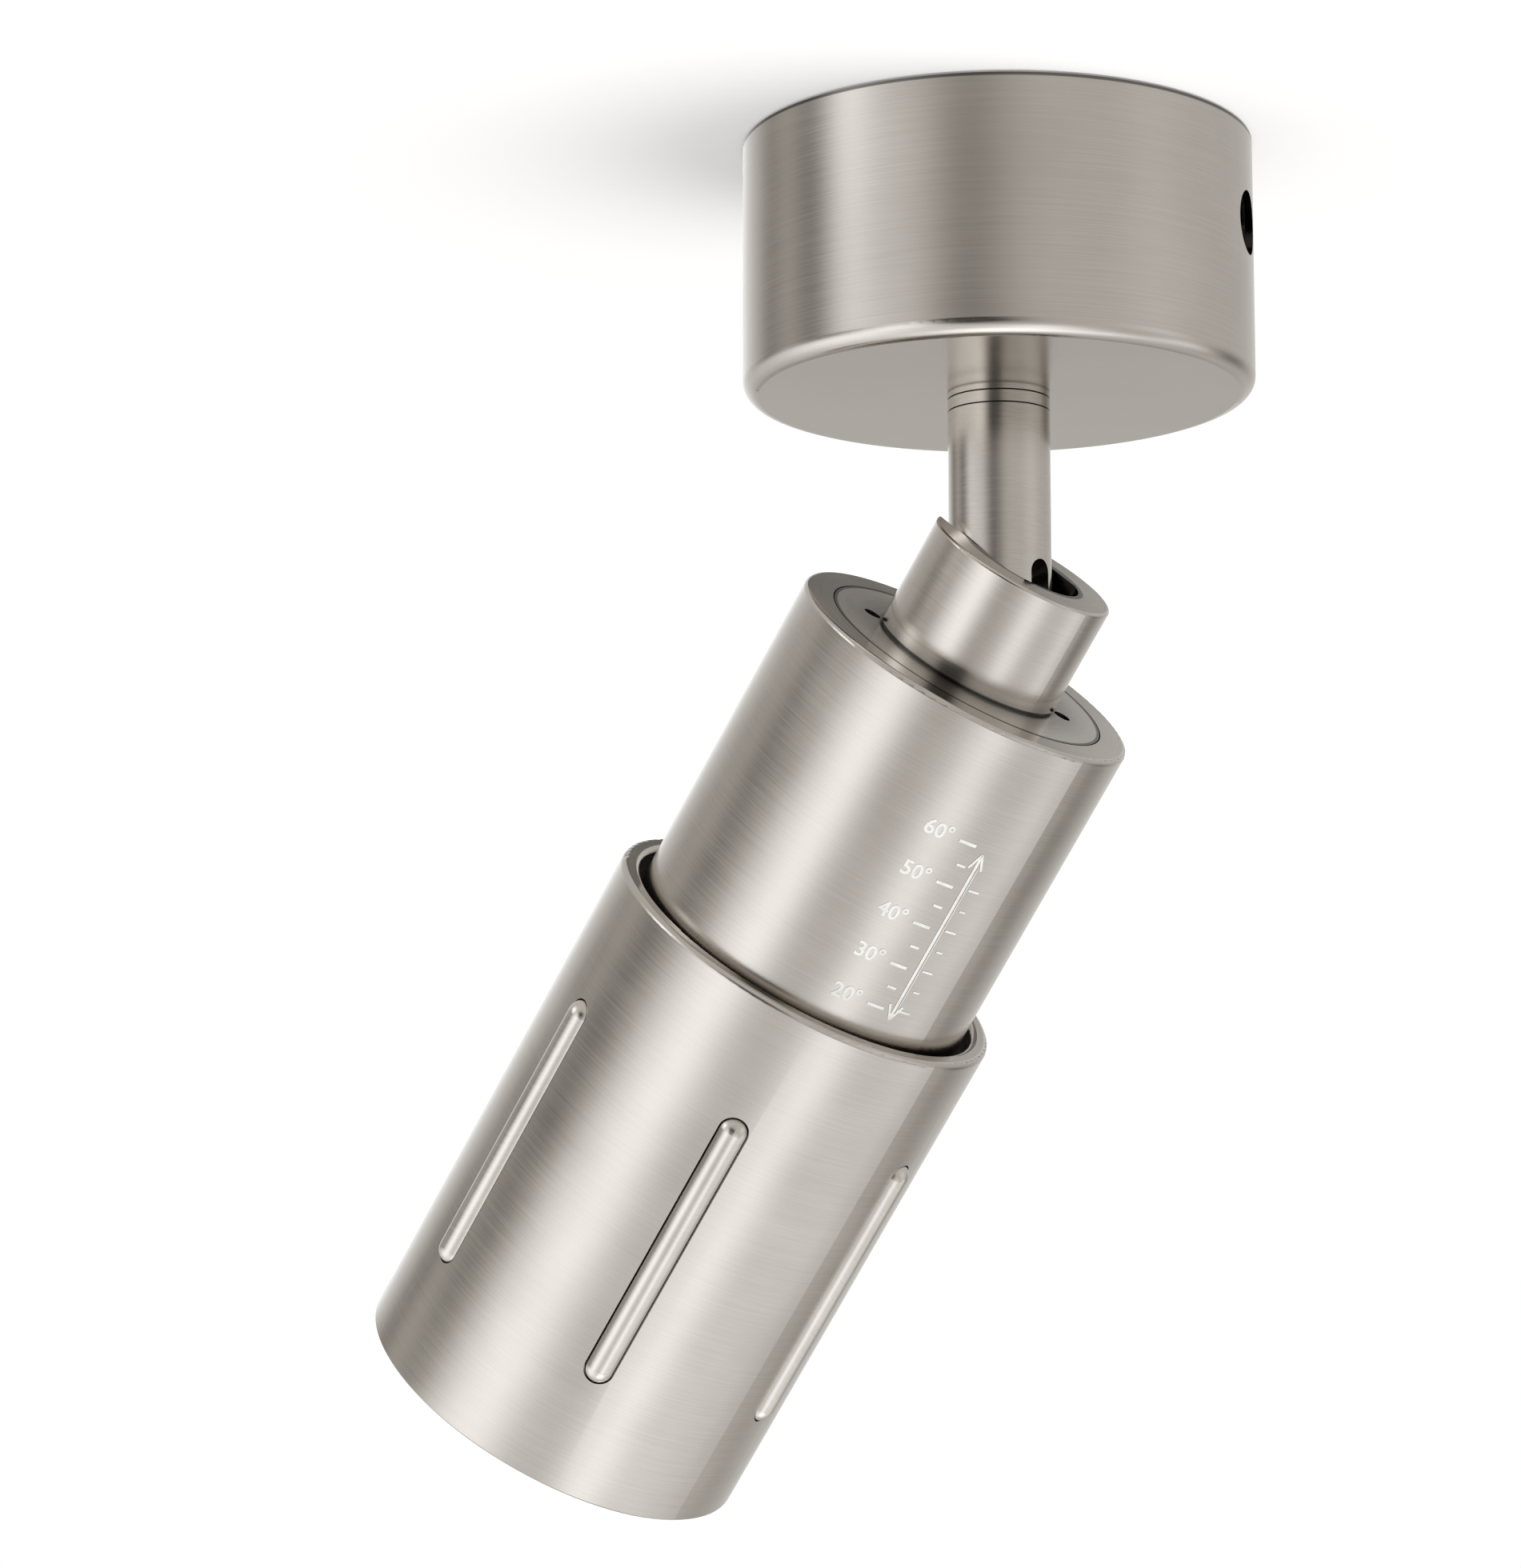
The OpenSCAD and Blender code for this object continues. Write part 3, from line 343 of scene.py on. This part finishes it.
# Driver and terminal block: moulded white cases that stand on foam pads in the canopy. The block's
# wells hold slotted clamp screws.
def moulded(name, base, shaded, roughness, grain, relief, place=origin, turn=upright):
    material, shade = new_material(name)
    where = own_space(shade, place, turn)
    skin = noise(shade, where, 1 / grain, 2.0)
    cloud = noise(shade, where, 45, 1.0)
    colour = (skin * 0.3 + cloud * 0.7).ramp(0.3, 0.7).blend(shaded, base)
    gloss = roughness + (skin - 0.5) * 0.15
    values = {"Strength": relief, "Distance": 0.05 * MM, "Height": skin}
    bump = shade.make("ShaderNodeBump", None, values)
    values = {"Base Color": colour, "Roughness": gloss, "Normal": bump}
    plastic = shade.make("ShaderNodeBsdfPrincipled", None, values)
    shade.make("ShaderNodeOutputMaterial", None, {"Surface": plastic})
    return material


white_case = moulded(
    "white_case", opaque(0.80, 0.80, 0.77), opaque(0.74, 0.74, 0.71), 0.45, 0.4 * MM, 0.25
)
dress(white_case, "led_driver", "terminal_block")
foam = moulded(
    "black_foam", opaque(0.03, 0.03, 0.03), opaque(0.015, 0.015, 0.015), 0.9, 0.8 * MM, 0.8
)
dress(foam, "driver_pads")

# Swivel: nickel plated bush, ring and stem in one line, parted by two black friction washers, and
# drawn together through the canopy's floor by a brass tube, a nut and a wave washer.
stem_nickel = turned(
    "stem_nickel", nickel_dull, nickel_bright, nickel_roughness, origin, upright, nickel_line
)
dress(stem_nickel, "swivel_bush", "swivel_ring", "stem")
washer_plastic = moulded(
    "black_washer", opaque(0.022, 0.022, 0.022), opaque(0.012, 0.012, 0.012), 0.55, 0.3 * MM, 0.3
)
dress(washer_plastic, "pan_washers")
tube_brass = turned("tube_brass", brass_dull, brass_bright, 0.3, origin, upright, 0.9 * MM, 0.9)
dress(tube_brass, "pan_tube")
dress(plated_zinc("zinc_nut", origin, upright, 0.6 * MM), "stop_washer", "lock_nut")
swivel_steel = turned("swivel_steel", steel_dull, steel_bright, 0.26, origin, upright, 0.3 * MM)
dress(swivel_steel, "wave_washer", "stop_pin")

# Neck: a thick collar turned from aluminium and nickel plated, open on the side to which the stem
# leans. A steel shoulder screw crosses it, with a black washer on each side of the stem's ball end.
pivot = Vector(joints["tilt"]["pos_m"])
tilt_axis = Vector(joints["tilt"]["axis"]).normalized()
up_neck = Vector(joints["zoom"]["axis"]).normalized()
head_axes = Matrix((tilt_axis.cross(up_neck), tilt_axis, up_neck)).transposed()
head_turn = head_axes.to_euler()
neck_radius = 19 * MM
neck_bore = 12 * MM
neck_rim = 9.5 * MM
body_face = -13.4 * MM
neck_nickel, shade = new_material("neck_nickel")
where = own_space(shade, pivot, head_turn)
height = shade.make("ShaderNodeSeparateXYZ", None, {"Vector": where}, "Z")
from_axis = where.vector("MULTIPLY", (1, 1, 0)).vector("LENGTH", output="Value")
# Painted shade: the bore darkened towards black, and a dark band at the neck's foot where it meets
# the body.
bore_painted_shade = 1 - from_axis.ramp(neck_bore + 0.7 * MM, neck_bore + 1.3 * MM)
foot_painted_shade = (1 - height.ramp(body_face, body_face + 0.8 * MM)) * 0.8
lines = tool_lines(shade, where, nickel_line)
patches = noise(shade, where, 60)
dark = shade.maths("MAXIMUM", bore_painted_shade, foot_painted_shade)
roughness = 0.17 - height.ramp(neck_rim - 0.6 * MM, neck_rim - 0.2 * MM) * 0.05
finish_metal(shade, lines, patches, nickel_dull, nickel_bright, roughness, 0.12, dark)
dress(neck_nickel, "neck")
pivot_turn = (head_axes @ Matrix.Rotation(-math.pi / 2, 3, "X")).to_euler()
pivot_steel = turned("pivot_steel", steel_dull, steel_bright, 0.24, pivot, pivot_turn, 0.3 * MM)
dress(pivot_steel, "pivot_screw")
dress(washer_plastic, "tilt_washers")
dress(plated_zinc("zinc_ring_nut", pivot, head_turn, 0.6 * MM), "neck_nut")

# End disc: a nickel plated plate let flush into the body's upper end, with two pin spanner holes. It
# has painted shade round the neck's foot, and a thin dark ring at its edge.
disc_radius = 29 * MM
disc_nickel, shade = new_material("disc_nickel")
where = own_space(shade, pivot, head_turn)
from_axis = where.vector("MULTIPLY", (1, 1, 0)).vector("LENGTH", output="Value")
# Painted shade round the neck's foot: dark close to it, fading out across the disc.
by_neck = 1 - from_axis.ramp(neck_radius, neck_radius + 1.2 * MM)
round_neck = 1 - from_axis.ramp(neck_radius, disc_radius - 1 * MM)
neck_painted_shade = by_neck * 0.45 + round_neck * 0.5
edge = from_axis.ramp(disc_radius - 0.55 * MM, disc_radius - 0.15 * MM) * 0.95
lines = tool_lines(shade, where, nickel_line)
patches = noise(shade, where, 60)
dark = shade.maths("MAXIMUM", neck_painted_shade, edge)
finish_metal(shade, lines, patches, nickel_dull, nickel_bright, 0.24, 0.06, dark)
dress(disc_nickel, "end_disc")

# Lamp body: a turned aluminium tube, nickel plated. The beam scale is etched bright into its side,
# from 60 degrees by the neck to 20 degrees by the sleeve, with an arrow and a second row of ticks.
# Its marks also glow faintly: painted light that lifts them above the metal round them.
def fine_faced(name, face):
    """Head piece whose end face, at this height above the pivot, is turned finer than its side."""
    material, shade = new_material(name)
    where = own_space(shade, pivot, head_turn)
    height = shade.make("ShaderNodeSeparateXYZ", None, {"Vector": where}, "Z")
    roughness = 0.2 - height.ramp(face - 0.4 * MM, face - 0.1 * MM) * 0.05
    lines = tool_lines(shade, where, nickel_line)
    patches = noise(shade, where, 60)
    finish_metal(shade, lines, patches, nickel_dull, nickel_bright, roughness, 0.12)
    return material


dress(fine_faced("body_nickel", body_face), "body_tube")
body_radius = 35.5 * MM
scale_azimuth = math.radians(-27)
scale_out = Vector((math.cos(scale_azimuth), math.sin(scale_azimuth), 0))
scale_across = Vector((-scale_out.y, scale_out.x, 0))
scale_axes = Matrix((scale_across, Vector((0, 0, 1)), scale_out)).transposed()
scale_place = Matrix.LocRotScale(pivot, head_axes.to_quaternion(), None) @ Matrix.LocRotScale(
    scale_out * body_radius, scale_axes.to_quaternion(), None
)
mark_pitch = 9.25 * MM
mark_top = 36.4 * MM
mark_width = 0.5 * MM
label_azimuth = -35.2
label_drop = 1.2 * MM
second_row_top = 45.2 * MM


def across_body(azimuth):
    """Distance across the body's face from the middle of the scale, for an azimuth in degrees."""
    return body_radius * math.sin(math.radians(azimuth) - scale_azimuth)


def scale_mark(azimuth_from, azimuth_to, depth, width=mark_width):
    left = across_body(azimuth_from)
    right = across_body(azimuth_to)
    bpy.ops.mesh.primitive_plane_add(size=1, location=((left + right) / 2, -depth, 0))
    bpy.context.object.scale = (right - left, width, 1)
    return bpy.context.object


def scale_line(azimuth, depth_from, depth_to, width=mark_width):
    middle = (depth_from + depth_to) / 2
    bpy.ops.mesh.primitive_plane_add(size=1, location=(across_body(azimuth), -middle, 0))
    bpy.context.object.scale = (width, depth_to - depth_from, 1)
    return bpy.context.object


marks = []
for step in range(5):
    depth = mark_top + step * mark_pitch
    marks.append(scale_mark(-27.8, -21.7, depth, 0.62 * MM))
    if step < 4:
        marks.append(scale_mark(-24.6, -21.4, depth + mark_pitch / 2))
    bpy.ops.object.text_add(location=(across_body(label_azimuth), -depth - label_drop, 0))
    label = bpy.context.object
    label.data.body = str(60 - 10 * step) + "°"
    label.data.size = 4.3 * MM
    label.data.align_x = "CENTER"
    label.data.resolution_u = 3
    label.data.offset = 0.09 * MM
    bpy.ops.object.convert(target="MESH")
    marks.append(bpy.context.object)
for step in range(7):
    depth = second_row_top + step * mark_pitch / 2
    if step % 2 == 0:
        marks.append(scale_mark(-16, -11.8, depth, 0.42 * MM))
    else:
        marks.append(scale_mark(-15, -12.6, depth, 0.36 * MM))
arrow_azimuth = -18
arrow_top = 37.5 * MM
arrow_end = 75.3 * MM
marks.append(scale_line(arrow_azimuth, arrow_top, arrow_end, 0.6 * MM))
echo_azimuth = arrow_azimuth + 1.1
marks.append(scale_line(echo_azimuth, arrow_top + 3 * MM, arrow_end - 2.1 * MM, 0.16 * MM))
barb_length = 3.6 * MM
barb_angle = math.radians(24)
for tip, inward in ((arrow_top, 1), (arrow_end, -1)):
    for side in (-1, 1):
        barb = scale_line(arrow_azimuth, tip, tip + barb_length, 0.5 * MM)
        barb.rotation_euler.z = inward * side * barb_angle
        barb.location.x += side * 0.75 * MM
        barb.location.y = -tip - inward * 1.7 * MM
        marks.append(barb)
bpy.ops.object.select_all(action="DESELECT")
for mark in marks:
    mark.select_set(True)
bpy.context.view_layer.objects.active = marks[0]
bpy.ops.object.join()
beam_scale = bpy.context.object
beam_scale.name = "beam_scale"
bpy.ops.object.transform_apply(location=True, rotation=True, scale=True)
bpy.ops.object.mode_set(mode="EDIT")
slice_width = 0.4 * MM
for slice_at in range(-28, 28):
    bpy.ops.mesh.select_all(action="SELECT")
    bpy.ops.mesh.bisect(plane_co=(slice_at * slice_width, 0, 0), plane_no=(1, 0, 0))
bpy.ops.mesh.select_all(action="DESELECT")
bpy.ops.object.mode_set(mode="OBJECT")
beam_scale.matrix_world = scale_place
wrap = beam_scale.modifiers.new("wrap", "SHRINKWRAP")
wrap.target = nodes["body_tube"]
wrap.wrap_method = "PROJECT"
wrap.wrap_mode = "ABOVE_SURFACE"
wrap.use_project_z = True
wrap.use_negative_direction = True
wrap.use_positive_direction = True
wrap.offset = 0.08 * MM
bpy.ops.object.modifier_apply(modifier=wrap.name)
bpy.ops.object.transform_apply(location=True, rotation=True, scale=True)
etched, shade = new_material("etched_mark_painted_glow")
where = own_space(shade, pivot, head_turn)
speckle = noise(shade, where, 4000, 2.0)
worn = noise(shade, where, 500, 2.0)
colour = worn.ramp(0.3, 0.6).blend(opaque(0.88, 0.87, 0.85), opaque(0.98, 0.975, 0.96))
values = {"Strength": 0.2, "Distance": 0.01 * MM, "Height": speckle}
bump = shade.make("ShaderNodeBump", None, values)
values = {"Base Color": colour, "Roughness": 0.6 + (speckle - 0.5) * 0.2, "Normal": bump}
# Faint emission: painted light that makes the marks look brighter than the metal round them.
values.update({"Emission Color": colour, "Emission Strength": 0.12})
etched_skin_painted_glow = shade.make("ShaderNodeBsdfPrincipled", None, values)
shade.make("ShaderNodeOutputMaterial", None, {"Surface": etched_skin_painted_glow})
beam_scale.data.materials.clear()
beam_scale.data.materials.append(etched)
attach(beam_scale, "head")

# Heat sink: extruded aluminium with straight fins, held against the body's step by a spring ring. A
# rubber grommet passes the lead through its base.
fin_aluminium, shade = new_material("fin_aluminium")
where = own_space(shade, pivot, head_turn)
drawn = where.vector("MULTIPLY", (1, 1, 0.02))
lines = noise(shade, drawn, 2500, 3.0)
patches = noise(shade, where, 80)
finish_metal(shade, lines, patches, opaque(0.60, 0.61, 0.62), opaque(0.74, 0.75, 0.76), 0.34, 0.1)
dress(fin_aluminium, "heat_sink")
ring_steel = turned("ring_steel", steel_dull, steel_bright, 0.26, pivot, head_turn, 0.3 * MM)
dress(ring_steel, "sink_ring", "holder_screws", "guide_pin")
rubber = moulded(
    "black_rubber", opaque(0.03, 0.03, 0.03), opaque(0.02, 0.02, 0.02), 0.7, 0.5 * MM, 0.3
)
dress(rubber, "wire_grommet", "lens_gasket")

# Light source: a white board on a grey thermal pad, with a round yellow emitter over a grid of
# chips, clamped by a white holder with two screws.
pad_grey = moulded(
    "thermal_pad", opaque(0.50, 0.50, 0.52), opaque(0.42, 0.42, 0.44), 0.8, 0.5 * MM, 0.4
)
dress(pad_grey, "thermal_pad")
board_white = moulded(
    "board_white", opaque(0.84, 0.85, 0.83), opaque(0.78, 0.79, 0.77), 0.35, 0.6 * MM, 0.1
)
dress(board_white, "led_board", "led_holder")
phosphor, shade = new_material("yellow_phosphor")
where = own_space(shade, pivot, head_turn)
chip_pitch = 1.5 * MM
grid = where.vector("SCALE")
grid.socket.node.inputs["Scale"].default_value = 1 / chip_pitch
parts = grid.vector("FRACTION")
east = shade.make("ShaderNodeSeparateXYZ", None, {"Vector": parts}, "X")
north = shade.make("ShaderNodeSeparateXYZ", None, {"Vector": parts}, "Y")
off_east = shade.maths("ABSOLUTE", east - 0.5)
off_north = shade.maths("ABSOLUTE", north - 0.5)
chip = 1 - shade.maths("MAXIMUM", off_east, off_north).ramp(0.22, 0.34)
gel = noise(shade, where, 900, 2.0)
tone = (chip * 0.6 + gel * 0.4).ramp(0.1, 0.9)
colour = tone.blend(opaque(0.86, 0.66, 0.10), opaque(0.80, 0.50, 0.05))
values = {"Strength": 0.15, "Distance": 0.05 * MM, "Height": gel}
bump = shade.make("ShaderNodeBump", None, values)
values = {"Base Color": colour, "Roughness": 0.28 + gel * 0.1, "Normal": bump}
gel_skin = shade.make("ShaderNodeBsdfPrincipled", None, values)
shade.make("ShaderNodeOutputMaterial", None, {"Surface": gel_skin})
dress(phosphor, "led_emitter")

# Reflector: a thin cone pressed from aluminium and metallised, with a faintly dimpled skin that
# blends the light.
mirror, shade = new_material("mirror_aluminium")
where = own_space(shade, pivot, head_turn)
dimples = shade.make("ShaderNodeTexVoronoi", None, {"Vector": where, "Scale": 700.0}, "Distance")
lines = tool_lines(shade, where, 1.2 * MM)
finish_metal(shade, lines, dimples, opaque(0.80, 0.81, 0.82), opaque(0.88, 0.89, 0.90), 0.12, 0.08)
dress(mirror, "reflector")

# Outer sleeve: a turned tube, nickel plated and brushed round its axis, that slides over the body on
# two black glide rings. Six half-round bars are pressed into its side as a grip.
sleeve_rim = -79.7 * MM
dress(fine_faced("sleeve_nickel", sleeve_rim), "outer_sleeve")
bar_bright = opaque(0.69, 0.655, 0.61)
bar_nickel = turned("bar_nickel", nickel_bright, bar_bright, 0.24, pivot, head_turn, nickel_line)
dress(bar_nickel, "grip_bars")
glide_plastic = moulded(
    "glide_plastic", opaque(0.022, 0.022, 0.022), opaque(0.014, 0.014, 0.014), 0.5, 0.4 * MM, 0.2
)
dress(glide_plastic, "body_glide_ring", "sleeve_glide_ring")

# Lens: clear polished glass, flat outside and curved inside, held on a gasket by a black anodised
# ring that is screwed into the sleeve.
clear_glass, shade = new_material("clear_glass")
where = own_space(shade, pivot, head_turn)
smear = noise(shade, where, 90, 3.0)
colour = smear.ramp(0.3, 0.7).blend(opaque(0.95, 0.98, 0.98), opaque(0.98, 1.0, 1.0))
gloss = smear.ramp(0.5, 0.8) * 0.03
values = {"Base Color": colour, "Roughness": gloss, "Transmission Weight": 1.0}
glass = shade.make("ShaderNodeBsdfPrincipled", None, values)
shade.make("ShaderNodeOutputMaterial", None, {"Surface": glass})
dress(clear_glass, "zoom_lens")
ring_black = turned(
    "black_anodised",
    opaque(0.020, 0.020, 0.021),
    opaque(0.032, 0.032, 0.034),
    0.36,
    pivot,
    head_turn,
    0.4 * MM,
    0.2,
)
dress(ring_black, "lens_ring")
